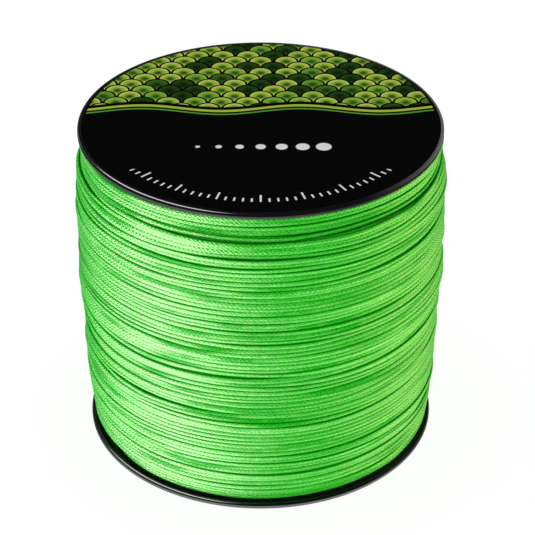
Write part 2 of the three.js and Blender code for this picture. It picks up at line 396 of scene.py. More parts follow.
class Palette:
    """One node material under construction, round its Principled shader."""

    def __init__(self, name: str) -> None:
        """Starts a material with a Principled shader and its output.

        Args:
            name: The material's name.
        """
        self.material = bpy.data.materials.new(name)
        self.material.use_nodes = True
        self.tree = self.material.node_tree
        self.tree.nodes.clear()
        self.shader = add_node(self.tree, "BsdfPrincipled")
        add_node(self.tree, "OutputMaterial", {"Surface": self.shader.outputs["BSDF"]})

    def set(self, **values: object) -> None:
        """Sets constants on the shader's sockets, named with underscores for spaces."""
        for name, value in values.items():
            self.shader.inputs[name.replace("_", " ")].default_value = value

    def place(self) -> bpy.types.NodeSocket:
        """Object coordinates."""
        return add_node(self.tree, "TexCoord").outputs["Object"]

    def shifted(self, shift: tuple[float, float, float], scale: float) -> bpy.types.NodeSocket:
        """Object coordinates moved to a pattern's own middle and scaled.

        Args:
            shift: The pattern's middle, in metres.
            scale: Size of one unit of the pattern, in metres.

        Returns:
            The coordinates in the pattern's units.
        """
        inputs = {"Vector": self.place(), "Location": shift, "Scale": (scale,) * 3}
        return add_node(self.tree, "Mapping", inputs, vector_type="TEXTURE").outputs["Vector"]

    def parts(self, vector: bpy.types.NodeSocket) -> tuple[Wire, Wire, Wire]:
        """The three numbers of a vector."""
        split = add_node(self.tree, "SeparateXYZ", {0: vector})
        return tuple(Wire(self.tree, socket) for socket in split.outputs)

    def uv(self, name: str) -> tuple[Wire, Wire, Wire]:
        """The numbers of a named UV map."""
        return self.parts(add_node(self.tree, "UVMap", uv_map=name).outputs["UV"])

    def noise(
        self, scale: float, detail: float = 2.0, vector: Optional[bpy.types.NodeSocket] = None
    ) -> Wire:
        """Noise from 0 to 1.

        Args:
            scale: How fine it is, per metre on object coordinates.
            detail: Octaves of finer noise.
            vector: Coordinates, or None for object coordinates.

        Returns:
            The noise.
        """
        inputs = {"Vector": vector or self.place(), "Scale": scale, "Detail": detail}
        return Wire(self.tree, add_node(self.tree, "TexNoise", inputs).outputs["Fac"])

    def combine(self, x: Number, y: Number, z: Number) -> bpy.types.NodeSocket:
        """A vector from three numbers."""
        return add_node(self.tree, "CombineXYZ", {0: x, 1: y, 2: z}).outputs[0]

    def blend(self, share: Wire, low: object, high: object) -> bpy.types.NodeSocket:
        """Mixes two colours.

        Args:
            share: 0 for the first colour, 1 for the second.
            low: First colour, or a socket that carries one.
            high: Second colour, or a socket that carries one.

        Returns:
            The mixed colour.
        """
        inputs = {0: share, 6: low, 7: high}
        return add_node(self.tree, "Mix", inputs, data_type="RGBA").outputs[2]

    def feed(self, name: str, source: Union[Wire, bpy.types.NodeSocket]) -> None:
        """Links a number or colour to one of the shader's sockets."""
        plug(self.tree, source, self.shader.inputs[name])

    def tangent(self, name: str) -> None:
        """Turns the shader's sheen with a UV map whose first axis runs along the fibres."""
        node = add_node(self.tree, "Tangent", direction_type="UV_MAP", uv_map=name)
        self.feed("Tangent", node.outputs[0])

    def bump(self, height: Wire, depth: float, strength: float = 1.0) -> None:
        """Adds relief to the surface.

        Args:
            height: Height from 0 to 1.
            depth: Depth of the relief, in metres.
            strength: How much of it shows.
        """
        inputs = {"Height": height, "Distance": depth, "Strength": strength}
        self.feed("Normal", add_node(self.tree, "Bump", inputs).outputs["Normal"])


@dataclass(frozen=True)
class MouldedPlastic:
    """Black moulded styrene, faintly wavy, with the hair scratches that handling leaves."""

    name: str
    colour: Colour
    roughness: float
    scratch_share: float = 0.12
    cloud_share: float = 0.06
    scratches_per_metre: float = 900.0
    scratch_stretch: float = 10.0
    clouds_per_metre: float = 160.0
    relief: float = 0.02 * MM
    cloud_relief: float = 0.7
    bump_strength: float = 0.5

    def make(self) -> bpy.types.Material:
        """Builds the material.

        Returns:
            The finished material.
        """
        palette = Palette(self.name)
        palette.set(Base_Color=self.colour, Specular_IOR_Level=0.5)
        x, y, z = palette.parts(palette.place())
        fine = self.scratches_per_metre
        grain = palette.combine(x * fine, y * fine, z * (fine * self.scratch_stretch))
        scratches = palette.noise(1.0, 3.0, grain)
        cloud = palette.noise(self.clouds_per_metre)
        uneven = (scratches - 0.5) * self.scratch_share + (cloud - 0.5) * self.cloud_share
        palette.feed("Roughness", uneven + self.roughness)
        height = cloud * self.cloud_relief + scratches * (1.0 - self.cloud_relief)
        palette.bump(height, self.relief, self.bump_strength)
        self.finish(palette, (x * x + y * y).maths("SQRT") / MM, x, y, z)
        return palette.material

    def finish(self, palette: Palette, ring: Wire, x: Wire, y: Wire, z: Wire) -> None:
        """Adds what only some mouldings have.

        Args:
            palette: The material under construction.
            ring: Distance from the spool's axis, in millimetres.
            x: Place to the right.
            y: Place to the back.
            z: Height.
        """


@dataclass(frozen=True)
class RimPlastic(MouldedPlastic):
    """Flange plastic: the rim shines on its upper edge, and grey on its edges is a painted
    reflection of the white table and the bright surroundings.

    Each band is a pair, from where a finish is absent to where it is full. A depth under the
    rim's top, an inset from its outer edge and a height are in millimetres, and a side is the
    cosine of the angle from that side.
    """

    sizes: Optional[SpoolSizes] = None
    end: End = End.TOP
    # Grey of the painted reflection on the rim's edges
    reflected_grey: Colour = (0.17, 0.17, 0.175, 1.0)
    left_side: Pair = (-0.6, 0.3)
    right_share: float = 0.3
    right_back: Pair = (0.75, 0.65)
    right_back_side: Pair = (-0.2, 0.75)
    shine_depth: Pair = (0.3, 0.18)
    inside_inset: Pair = (0.75, 0.85)
    inside_shine: float = 0.12
    upper_inset: Pair = (0.72, 0.6)
    upper_depth: Pair = (0.55, 0.4)
    upper_reflection: float = 0.9
    wall_upper_depth: Pair = (0.65, 0.8)
    wall_lower_depth: Pair = (1.35, 1.2)
    wall_reflection: float = 0.55
    foot_inset: Pair = (0.5, 0.3)
    foot_height: Pair = (0.95, 0.8)

    def finish(self, palette: Palette, ring: Wire, x: Wire, y: Wire, z: Wire) -> None:
        """Adds the painted reflection, grey on the rim's edges, and keeps the gloss to the rim's
        upper edge.
        """
        s = self.sizes
        rim_top = s.height if self.end is End.TOP else s.rim_thickness
        inset = ring * -1.0 + s.flange_radius / MM
        depth = (z * -1.0 + rim_top) / MM
        across, back = x / (ring * MM), y / (ring * MM)
        left = (across * -1.0).ease(*self.left_side)
        left = left * (1.0 - self.right_share) + self.right_share
        shine = depth.ease(*self.shine_depth) * left
        inside = inset.ease(*self.inside_inset)
        palette.feed("Specular IOR Level", shine * inside.flipped() + inside * self.inside_shine)
        # Painted reflection: grey on the top rim's upper edge at the right and back and on its
        # outer wall on the left, and grey on the bottom rim's lower edge
        if self.end is End.TOP:
            aside = across * self.right_back[0] + back * self.right_back[1]
            upper = inset.ease(*self.upper_inset) * depth.ease(*self.upper_depth)
            upper = upper * aside.ease(*self.right_back_side)
            wall = depth.ease(*self.wall_upper_depth) * depth.ease(*self.wall_lower_depth) * left
            painted_reflection = upper * self.upper_reflection + wall * self.wall_reflection
        else:
            painted_reflection = inset.ease(*self.foot_inset) * (z / MM).ease(*self.foot_height)
        # The base colour takes the painted reflection grey
        palette.feed("Base Color", palette.blend(painted_reflection, self.colour, self.reflected_grey))


@dataclass(frozen=True)
class BraidedLine:
    """Bright green braid: eight yarns that cross over and under, on a strand's own map.

    The map runs along the strand in millimetres and once round it from 0 to 1. The scale of a
    cloud says how fine it is in these two directions.
    """

    name: str = "braided_line"
    yarns_each_way: int = 4
    pick: float = 0.95
    uneven: float = 0.7
    yarn_power: float = 0.6
    relief: float = 0.12 * MM
    pick_cloud: Pair = (0.9, 3.0)
    worn_cloud: Pair = (0.35, 3.0)
    fibre_cloud: Pair = (2.2, 7.0)
    dull_cloud: Pair = (0.035, 0.0)
    worn_from: Pair = (0.5, 0.78)
    worn_share: float = 0.35
    dull_from: Pair = (0.5, 0.64)
    dull_share: float = 0.88
    dull_light: float = 0.5
    crown_from: Pair = (0.15, 0.9)
    fibre_light: float = 1.6
    least_light: float = 0.1
    outer_side: Pair = (-0.1, 0.6)
    sheen_side: Pair = (0.2, 0.75)
    sheen_share: float = 0.57
    least_sheen: float = 0.0475
    smoothest: float = 0.18
    groove_roughness: float = 0.12
    fibre_roughness: float = 0.1
    fibre_relief: float = 0.15
    # Darker green: painted shade in the weave's hollows, and the darker end of the random fibre
    # and dull tone
    shade_and_dark_tone: Colour = (0.001, 0.37, 0.002, 1.0)
    crown: Colour = (0.014, 0.86, 0.014, 1.0)
    worn: Colour = (0.16, 0.78, 0.09, 1.0)
    # Darker green of the strand's sides: painted shade where they face into the grooves between
    # turns
    shaded_flank: Colour = (0.0005, 0.34, 0.0015, 1.0)
    gleam: Colour = (1.0, 1.0, 0.72, 1.0)

    def make(self) -> bpy.types.Material:
        """Builds the material.

        Returns:
            The finished material.
        """
        palette = Palette(self.name)
        palette.set(IOR=2.0, Specular_Tint=self.gleam, Anisotropic=0.4, Anisotropic_Rotation=0.25)
        along, around, _ = palette.uv("strand")

        def cloud(scale: Pair, detail: float) -> Wire:
            """Noise on the strand's map."""
            place = palette.combine(along * scale[0], around * scale[1], 0.0)
            return palette.noise(1.0, detail, place)

        steps = along / self.pick + (cloud(self.pick_cloud, 1.0) - 0.5) * self.uneven
        relief = self.weave(steps, around * float(self.yarns_each_way))
        worn = cloud(self.worn_cloud, 2.0).ease(*self.worn_from)
        fibre = cloud(self.fibre_cloud, 2.0)
        dull = cloud(self.dull_cloud, 1.0).ease(*self.dull_from)
        outwards = (around * (2 * math.pi)).maths("COSINE") * -1.0
        # Darker where the weave dips under a crossing yarn, as painted shade; the fibre and dull
        # clouds vary the tone at random
        light = relief.ease(*self.crown_from) + (fibre - 0.5) * self.fibre_light
        light = light - dull * self.dull_light + self.least_light
        colour = palette.blend(light, self.shade_and_dark_tone, self.crown)
        colour = palette.blend(worn * self.worn_share, colour, self.worn)
        # The strand's sides, which face into the grooves between turns, take the darker green as
        # painted shade
        colour = palette.blend(outwards.ease(*self.outer_side), self.shaded_flank, colour)
        palette.feed("Base Color", colour)
        sheen = outwards.ease(*self.sheen_side) * (dull * -self.dull_share + 1.0)
        sheen = sheen * ((relief + fibre) * self.sheen_share + self.least_sheen)
        palette.feed("Specular IOR Level", sheen)
        rough = relief.flipped() * self.groove_roughness + (fibre - 0.5) * self.fibre_roughness
        palette.feed("Roughness", rough + self.smoothest)
        palette.tangent("strand")
        height = relief * (1.0 - self.fibre_relief) + fibre * self.fibre_relief
        palette.bump(height, self.relief)
        return palette.material

    def weave(self, steps: Wire, turns: Wire) -> Wire:
        """Relief of the crossing yarns.

        Args:
            steps: Picks along the strand.
            turns: Yarns round the strand.

        Returns:
            Height of the yarn on top, from 0 to 1.
        """
        right, left = steps + turns, steps - turns
        ridge_right = (right * math.pi).maths("SINE").size()
        ridge_left = (left * math.pi).maths("SINE").size()
        parity = (right.maths("FLOOR") + left.maths("FLOOR")).maths("FLOORED_MODULO", 2.0)
        high_right = ridge_right.maths("POWER", self.yarn_power) * (ridge_left * 0.5 + 0.5)
        high_left = ridge_left.maths("POWER", self.yarn_power) * (ridge_right * 0.5 + 0.5)
        return high_right * parity + high_left * parity.flipped()


@dataclass(frozen=True)
class ScaleLabel:
    """Gloss black film printed with plain fish scales, two waves, a row of dots and a tick scale.

    The pattern is laid out in label radii, with its middle at the label's own.
    """

    name: str
    middle: tuple[float, float, float]
    radius: float
    black: Colour = (0.0022, 0.0026, 0.0022, 1.0)
    deep: Colour = (0.02, 0.13, 0.012, 1.0)
    green: Colour = (0.12, 0.46, 0.035, 1.0)
    lime: Colour = (0.5, 0.68, 0.05, 1.0)
    pale: Colour = (0.68, 0.84, 0.24, 1.0)
    border: Pair = (0.99, 0.985)
    lime_tone: Pair = (0.15, 0.6)
    bright_tone: Pair = (0.1, 0.9)
    black_tone: Pair = (0.32, 0.2)
    black_share: float = 0.85
    green_reach: Pair = (0.1, 0.62)
    pale_reach: Pair = (0.62, 0.78)
    black_reach: Pair = (0.8, 0.85)
    chance: tuple[float, float, float] = (3.7, 5.3, 43.0)
    scale_size: float = 0.15
    shore: float = 0.2
    wave_count: float = 7.0
    wave_height: float = 0.035
    lime_line: Pair = (0.045, 0.011)
    green_line: Pair = (0.085, 0.005)
    soft: float = 0.004
    dots: int = 7
    dot_spacing: float = 0.115
    dot_level: float = -0.3
    dot_radius: float = 0.026
    dot_growth: float = 0.005
    tick_step: float = math.radians(3.0)
    tick_width: float = 0.0042
    tick_ring: Pair = (0.865, 0.9)
    tick_extra: float = 0.035
    tick_front: float = -0.55
    long_each: int = 5
    long_window: Pair = (0.11, 0.09)
    waves_per_metre: float = 220.0
    relief: float = 0.012 * MM
    bump_strength: float = 0.35

    def make(self) -> bpy.types.Material:
        """Builds the material.

        Returns:
            The finished material.
        """
        palette = Palette(self.name)
        palette.set(Specular_IOR_Level=0.3, Roughness=0.16)
        x, y, _ = palette.parts(palette.shifted(self.middle, self.radius))
        ring = (x * x + y * y).maths("SQRT")
        within = ring.ease(*self.border)
        above = y - (x * self.wave_count).maths("SINE") * self.wave_height - self.shore
        reach, tone = self.scales(x, y)
        bright = reach.ease(*self.pale_reach) * tone.ease(*self.bright_tone)
        colour = palette.blend(tone.ease(*self.lime_tone), self.green, self.lime)
        colour = palette.blend(reach.ease(*self.green_reach), self.deep, colour)
        colour = palette.blend(bright, colour, self.pale)
        colour = palette.blend(tone.ease(*self.black_tone) * self.black_share, colour, self.black)
        colour = palette.blend(reach.ease(*self.black_reach), colour, self.black)
        printed = palette.blend(above.ease(0.0, self.soft * 1.5) * within, self.black, colour)
        for (drop, width), ink in ((self.lime_line, self.lime), (self.green_line, self.green)):
            wave = (above + drop).size().ease(width + self.soft, width) * within
            printed = palette.blend(wave, printed, ink)
        printed = palette.blend(self.row_of_dots(x, y), printed, WHITE)
        printed = palette.blend(self.ticks(ring, y.maths("ARCTAN2", x), y), printed, WHITE)
        palette.feed("Base Color", printed)
        palette.bump(palette.noise(self.waves_per_metre), self.relief, self.bump_strength)
        return palette.material

    def scales(self, x: Wire, y: Wire) -> tuple[Wire, Wire]:
        """Rows of overlapping round scales, the front rows on top.

        Args:
            x: Place to the right, in label radii.
            y: Place to the back, in label radii.

        Returns:
            How far out a point lies in its scale, from 0 to 1, and the scale's own tone.
        """
        by_place, by_row, spin = self.chance
        rows = y / (self.scale_size / 2)
        first = rows.maths("FLOOR")
        reach = tone = None
        for step in (1.0, 0.0, -1.0):
            row = first + step
            place = x / self.scale_size + row.maths("FLOORED_MODULO", 2.0) * 0.5
            across = (place.maths("FRACT") - 0.5) * 2.0
            height = rows - row - 1.0
            distance = (across * across + height * height).maths("SQRT")
            mixed = (place.maths("FLOOR") * by_place + row * by_row).maths("SINE")
            chance = (mixed * spin).maths("FRACT")
            inside = distance.maths("LESS_THAN", 1.0)
            reach = distance if reach is None else distance * inside + reach * inside.flipped()
            tone = chance if tone is None else chance * inside + tone * inside.flipped()
        return reach, tone

    def row_of_dots(self, x: Wire, y: Wire) -> Wire:
        """A row of dots that grow from left to right.

        Args:
            x: Place to the right, in label radii.
            y: Place to the back, in label radii.

        Returns:
            1 on a dot, else 0.
        """
        count = x / self.dot_spacing
        number = count.maths("ROUND")
        across = (count - number) * self.dot_spacing
        up = y - self.dot_level
        away = (across * across + up * up).maths("SQRT")
        size = number * self.dot_growth + self.dot_radius
        in_row = number.size().maths("LESS_THAN", self.dots / 2)
        return (away - size).ease(self.soft, 0.0) * in_row

    def ticks(self, ring: Wire, angle: Wire, y: Wire) -> Wire:
        """A scale of short radial ticks along the front of the label, with longer ones among them.

        Args:
            ring: Distance from the label's middle, in label radii.
            angle: Angle round it.
            y: Place to the back, in label radii.

        Returns:
            1 on a tick, else 0.
        """
        low, high = self.tick_ring
        count = angle / self.tick_step
        off = (count - count.maths("ROUND")).size() * ring * self.tick_step
        group = angle / (self.long_each * self.tick_step)
        is_long = (group - group.maths("ROUND")).size().ease(*self.long_window)
        length = ring.above(is_long * -self.tick_extra + low) * ring.maths("LESS_THAN", high)
        front = y.maths("LESS_THAN", self.tick_front)
        return off.ease(self.tick_width + self.soft / 2, self.tick_width) * length * front


@dataclass(frozen=True)
class PaperTape:
    """Cream crepe paper tape, darker in its crepe hollows as painted shade."""

    name: str = "paper_tape"
    colour: Colour = (0.76, 0.7, 0.52, 1.0)
    crease_shade_share: float = 0.7
    creases_per_metre: float = 400.0
    crease_stretch: float = 8.0
    relief: float = 0.05 * MM

    def make(self) -> bpy.types.Material:
        """Builds the material.

        Returns:
            The finished material.
        """
        palette = Palette(self.name)
        palette.set(Roughness=0.85)
        x, y, z = palette.parts(palette.place())
        fine = self.creases_per_metre
        creases = palette.combine(x * fine, y * fine, z * (fine * self.crease_stretch))
        crepe = palette.noise(1.0, 3.0, creases)
        # Darker cream where the crepe dips: painted shade in its hollows
        crease_shade = tuple(value * self.crease_shade_share for value in self.colour[:3]) + (1.0,)
        palette.feed("Base Color", palette.blend(crepe, crease_shade, self.colour))
        palette.bump(crepe, self.relief)
        return palette.material


# Sub-assemblies


def dress(obj: bpy.types.Object, material: bpy.types.Material) -> None:
    """Gives a piece one material."""
    obj.data.materials.clear()
    obj.data.materials.append(material)


def mount(obj: bpy.types.Object, slot: str, *nodes: str) -> None:
    """Rides a piece on the spool, hides the CAD nodes that it replaces, and logs its face count.

    Args:
        obj: The piece.
        slot: Name of a material slot; not used.
        *nodes: The CAD nodes that it replaces.
    """
    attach(obj, ROOT_BODY)
    if nodes:
        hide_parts(*nodes)
    LOG.info("%s: %d faces", obj.name, len(obj.data.polygons))


@dataclass
class Flange:
    """One moulded flange: rim bead, label seat, drum ring and spindle boss."""

    sizes: SpoolSizes
    end: End
    facets: int = 192
    spigot_wall: float = 1.4 * MM
    spigot_height: float = 5.0 * MM
    boss_wall: float = 1.6 * MM
    boss_height: float = 4.0 * MM
    fit: float = 0.15 * MM
    edge_round: float = 0.1 * MM
    edge_segments: int = 2
    rim_segments: int = 6
    chamfer_segments: int = 3

    @property
    def inwards(self) -> float:
        """Sign of the direction from the flange's outer face to the winding."""
        return 1.0 if self.end is End.BOTTOM else -1.0

    def level(self, depth: float) -> float:
        """Height of a plane at a depth below the flange's outer face."""
        return depth if self.end is End.BOTTOM else self.sizes.height - depth

    def build(self) -> bpy.types.Object:
        """Models the flange from a disc by insets and extrusions.

        Returns:
            The flange.
        """
        s = self.sizes
        levels = sorted((self.level(0.0), self.level(s.rim_thickness)))
        name = f"{self.end.value}_flange_moulding"
        obj = Bench.cylinder(name, s.flange_radius, levels[0], levels[1], self.facets)
        with Bench.editing(obj):
            self.sink(obj, -self.inwards, s.rim_width, s.seat_depth)
            self.narrow(obj, -self.inwards, s.seat_radius - s.bore_radius)
            self.sink(obj, self.inwards, s.rim_width, s.inner_depth)
            spigot = s.drum_inner_radius - self.fit
            radius = self.ring(obj, s.seat_radius, spigot, self.spigot_wall, self.spigot_height)
            boss = s.tube_radius + self.fit + self.boss_wall
            radius = self.ring(obj, radius, boss, self.boss_wall, self.boss_height)
            self.narrow(obj, self.inwards, radius - s.bore_radius)
            Bench.bore(obj, s.bore_radius)
            self.round_rim(obj)
        Bench.close(obj)
        Bench.soften(obj, self.edge_round, self.edge_segments)
        Bench.smooth(obj)
        return obj

    def pick_hub_face(self, obj: bpy.types.Object, facing: float) -> None:
        """Selects the one large face in the middle of a side."""
        Bench.pick_faces(
            obj,
            lambda middle, normal: normal.z * facing > LEVEL_FACE and spread(middle) < SAME_PLACE,
        )

    def narrow(self, obj: bpy.types.Object, facing: float, by: float) -> None:
        """Insets the middle face of a side."""
        self.pick_hub_face(obj, facing)
        bpy.ops.mesh.inset(thickness=by, depth=0.0)

    def sink(self, obj: bpy.types.Object, facing: float, by: float, depth: float) -> None:
        """Insets the middle face of a side and sinks it with an upright wall."""
        self.narrow(obj, facing, by)
        bpy.ops.mesh.extrude_region_move(
            TRANSFORM_OT_translate={"value": (0, 0, -facing * depth)}
        )

    def ring(
        self, obj: bpy.types.Object, start: float, outer: float, wall: float, height: float
    ) -> float:
        """Raises a ring on the inner face.

        Args:
            obj: The flange in edit mode.
            start: Radius of the middle face before.
            outer: The ring's outer radius.
            wall: Its wall.
            height: Its height.

        Returns:
            Radius of the middle face that is left inside the ring.
        """
        self.narrow(obj, self.inwards, start - outer)
        self.narrow(obj, self.inwards, wall)
        web = self.level(self.sizes.web_inner)
        Bench.pick_faces(
            obj,
            lambda middle, normal: normal.z * self.inwards > LEVEL_FACE
            and abs(middle.z - web) < SAME_PLACE
            and outer - wall < spread(middle) < outer,
        )
        bpy.ops.mesh.extrude_region_move(
            TRANSFORM_OT_translate={"value": (0, 0, self.inwards * height)}
        )
        return outer - wall

    def round_rim(self, obj: bpy.types.Object) -> None:
        """Rounds the outer corners of the rim bead, and eases its inner ones."""
        s = self.sizes
        planes = (self.level(0.0), self.level(s.rim_thickness))
        for radius, width, segments in (
            (s.flange_radius, s.rim_round, self.rim_segments),
            (s.seat_radius, s.rim_chamfer, self.chamfer_segments),
        ):
            Bench.pick_circle(obj, radius, planes)
            bpy.ops.mesh.bevel(offset=width, segments=segments, profile=0.5, affect="EDGES")


@dataclass
class Hub:
    """The spindle tube, the drum under the line, and the tape on it."""

    sizes: SpoolSizes
    facets: int = 96
    edge_round: float = 0.3 * MM
    edge_segments: int = 3

    def build(self) -> bpy.types.Object:
        """Models the spindle tube from a rod that is bored through.

        Returns:
            The spindle tube.
        """
        s = self.sizes
        low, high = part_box("spindle_tube")
        obj = Bench.cylinder("spindle_tube_liner", s.tube_radius, low[2], high[2], self.facets)
        with Bench.editing(obj):
            Bench.pick_middle(obj)
            wall = s.tube_radius - s.bore_radius
            bpy.ops.mesh.inset(thickness=wall, depth=0.0, use_individual=True)
            Bench.bore(obj, s.bore_radius)
        Bench.close(obj)
        Bench.soften(obj, self.edge_round, self.edge_segments)
        Bench.smooth(obj)
        return obj

    def dress_hidden(self, plastic: bpy.types.Material, tape: bpy.types.Material) -> None:
        """Gives the drum and the starting tape, which stay as the CAD has them, their finish."""
        dress(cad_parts["drum"], plastic)
        dress(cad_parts["start_tape"], tape)


@dataclass
class Label:
    """A printed film label in the seat of a flange."""

    sizes: SpoolSizes
    end: End
    facets: int = 192
    edge_ring: float = 0.5 * MM
    inner_ring: float = 4.0 * MM
    hole_margin: float = 1.0 * MM
    edge_round: float = 0.04 * MM
    edge_segments: int = 2

    @property
    def node(self) -> str:
        """The CAD node that it stands for."""
        return f"{self.end.value}_label"

    def middle(self) -> tuple[float, float, float]:
        """Middle of the label, from the frame."""
        low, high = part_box(self.node)
        return tuple((a + b) / 2 for a, b in zip(low, high))

    def build(self) -> bpy.types.Object:
        """Models the label as a thin disc with a softened edge, holed at the bottom of the spool.

        Returns:
            The label.
        """
        low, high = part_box(self.node)
        radius = (high[0] - low[0]) / 2
        obj = Bench.cylinder(f"{self.node}_film", radius, low[2], high[2], self.facets)
        x, y, _ = self.middle()
        with Bench.editing(obj):
            bpy.ops.mesh.select_all(action="SELECT")
            bpy.ops.transform.translate(value=(x, y, 0))
            for inset in (self.edge_ring, self.inner_ring):
                Bench.pick_middle(obj, x, y)
                bpy.ops.mesh.inset(thickness=inset, depth=0.0, use_individual=True)
            if self.end is End.BOTTOM:
                self.open_middle(obj, radius - self.edge_ring - self.inner_ring)
        Bench.close(obj)
        Bench.soften(obj, self.edge_round, self.edge_segments)
        Bench.smooth(obj)
        return obj

    def open_middle(self, obj: bpy.types.Object, radius: float) -> None:
        """Punches the hole round the spindle bore.

        Args:
            obj: The label in edit mode.
            radius: Radius of its middle faces so far.
        """
        hole = self.sizes.bore_radius + self.hole_margin
        Bench.pick_middle(obj)
        bpy.ops.mesh.inset(thickness=radius - hole, depth=0.0, use_individual=True)
        Bench.bore(obj, hole)


# The winding


def blurred(values: np.ndarray, width: float, mode: str) -> np.ndarray:
    """Values smoothed along their length.

    Args:
        values: The values, evenly spaced.
        width: Width of the blur, in steps.
        mode: What lies past the ends: "edge" holds them, "wrap" goes round.

    Returns:
        The smoothed values.
    """
    reach = int(width * 3)
    kernel = np.exp(-0.5 * (np.arange(-reach, reach + 1) / width) ** 2)
    return np.convolve(np.pad(values, reach, mode=mode), kernel / kernel.sum(), mode="valid")


def smooth_rise(share: np.ndarray) -> np.ndarray:
    """Smooth step from 0 to 1 over shares from 0 to 1."""
    return share * share * (3 - 2 * share)


def ring_faces(rings: int, sides: int, closed: bool) -> np.ndarray:
    """Quads between neighbouring rings of points, each ring closed on itself.

    Args:
        rings: How many rings there are.
        sides: Points in each.
        closed: Whether the last ring joins the first.

    Returns:
        Four point numbers for each quad.
    """
    ring = np.arange(rings if closed else rings - 1)[:, None]
    side = np.arange(sides)[None, :]
    beside, above = (ring + 1) % rings, (side + 1) % sides
    corners = ((ring, side), (beside, side), (beside, above), (ring, above))
    return np.stack([row * sides + point for row, point in corners], axis=2).reshape(-1, 4)


def add_strand_map(mesh: bpy.types.Mesh, along: np.ndarray, around: np.ndarray) -> None:
    """Gives a mesh of ring_faces quads the map that the braid material reads.

    Args:
        mesh: The mesh, its quads first.
        along: Length in millimetres at the edges of the rows of quads.
        around: Share of a turn round the strand at the edges of the quads in a row.
    """
    u = np.stack((along[:-1], along[1:], along[1:], along[:-1]), axis=1)[:, None, :]
    v = np.stack((around[:-1], around[:-1], around[1:], around[1:]), axis=1)[None, :, :]
    grid = np.stack(np.broadcast_arrays(u, v), axis=3).reshape(-1, 2)
    rest = np.zeros((len(mesh.loops) - len(grid), 2))
    layer = mesh.uv_layers.new(name="strand")
    layer.data.foreach_set("uv", np.concatenate((grid, rest)).ravel().astype(np.float32))


@dataclass
class WindingSurface:
    """The growing surface of the winding, as a radius over angle and height."""

    steps: int
    low: float
    high: float
    cell: float
    radii: np.ndarray = field(init=False)

    def __post_init__(self) -> None:
        """Lays out the grid."""
        self.cells = int(round((self.high - self.low) / self.cell)) + 1
        self.heights = self.low + self.cell * np.arange(self.cells)
        self.angles = 2 * math.pi * np.arange(self.steps) / self.steps + START_ANGLE
        self.radii = np.zeros((self.steps, self.cells))

    def window(self, heights: np.ndarray, half_width: float) -> tuple[np.ndarray, np.ndarray]:
        """Cells under a strand that passes each angle at a height.

        Args:
            heights: Height of the strand's middle at each angle.
            half_width: Half of its width.

        Returns:
            The cells' indices, and their distances from the strand's middle.
        """
        reach = int(math.ceil(half_width / self.cell)) + 1
        middle = np.rint((heights - self.low) / self.cell).astype(int)
        index = middle[:, None] + np.arange(-reach, reach + 1)[None, :]
        index = np.clip(index, 0, self.cells - 1)
        return index, self.heights[index] - heights[:, None]


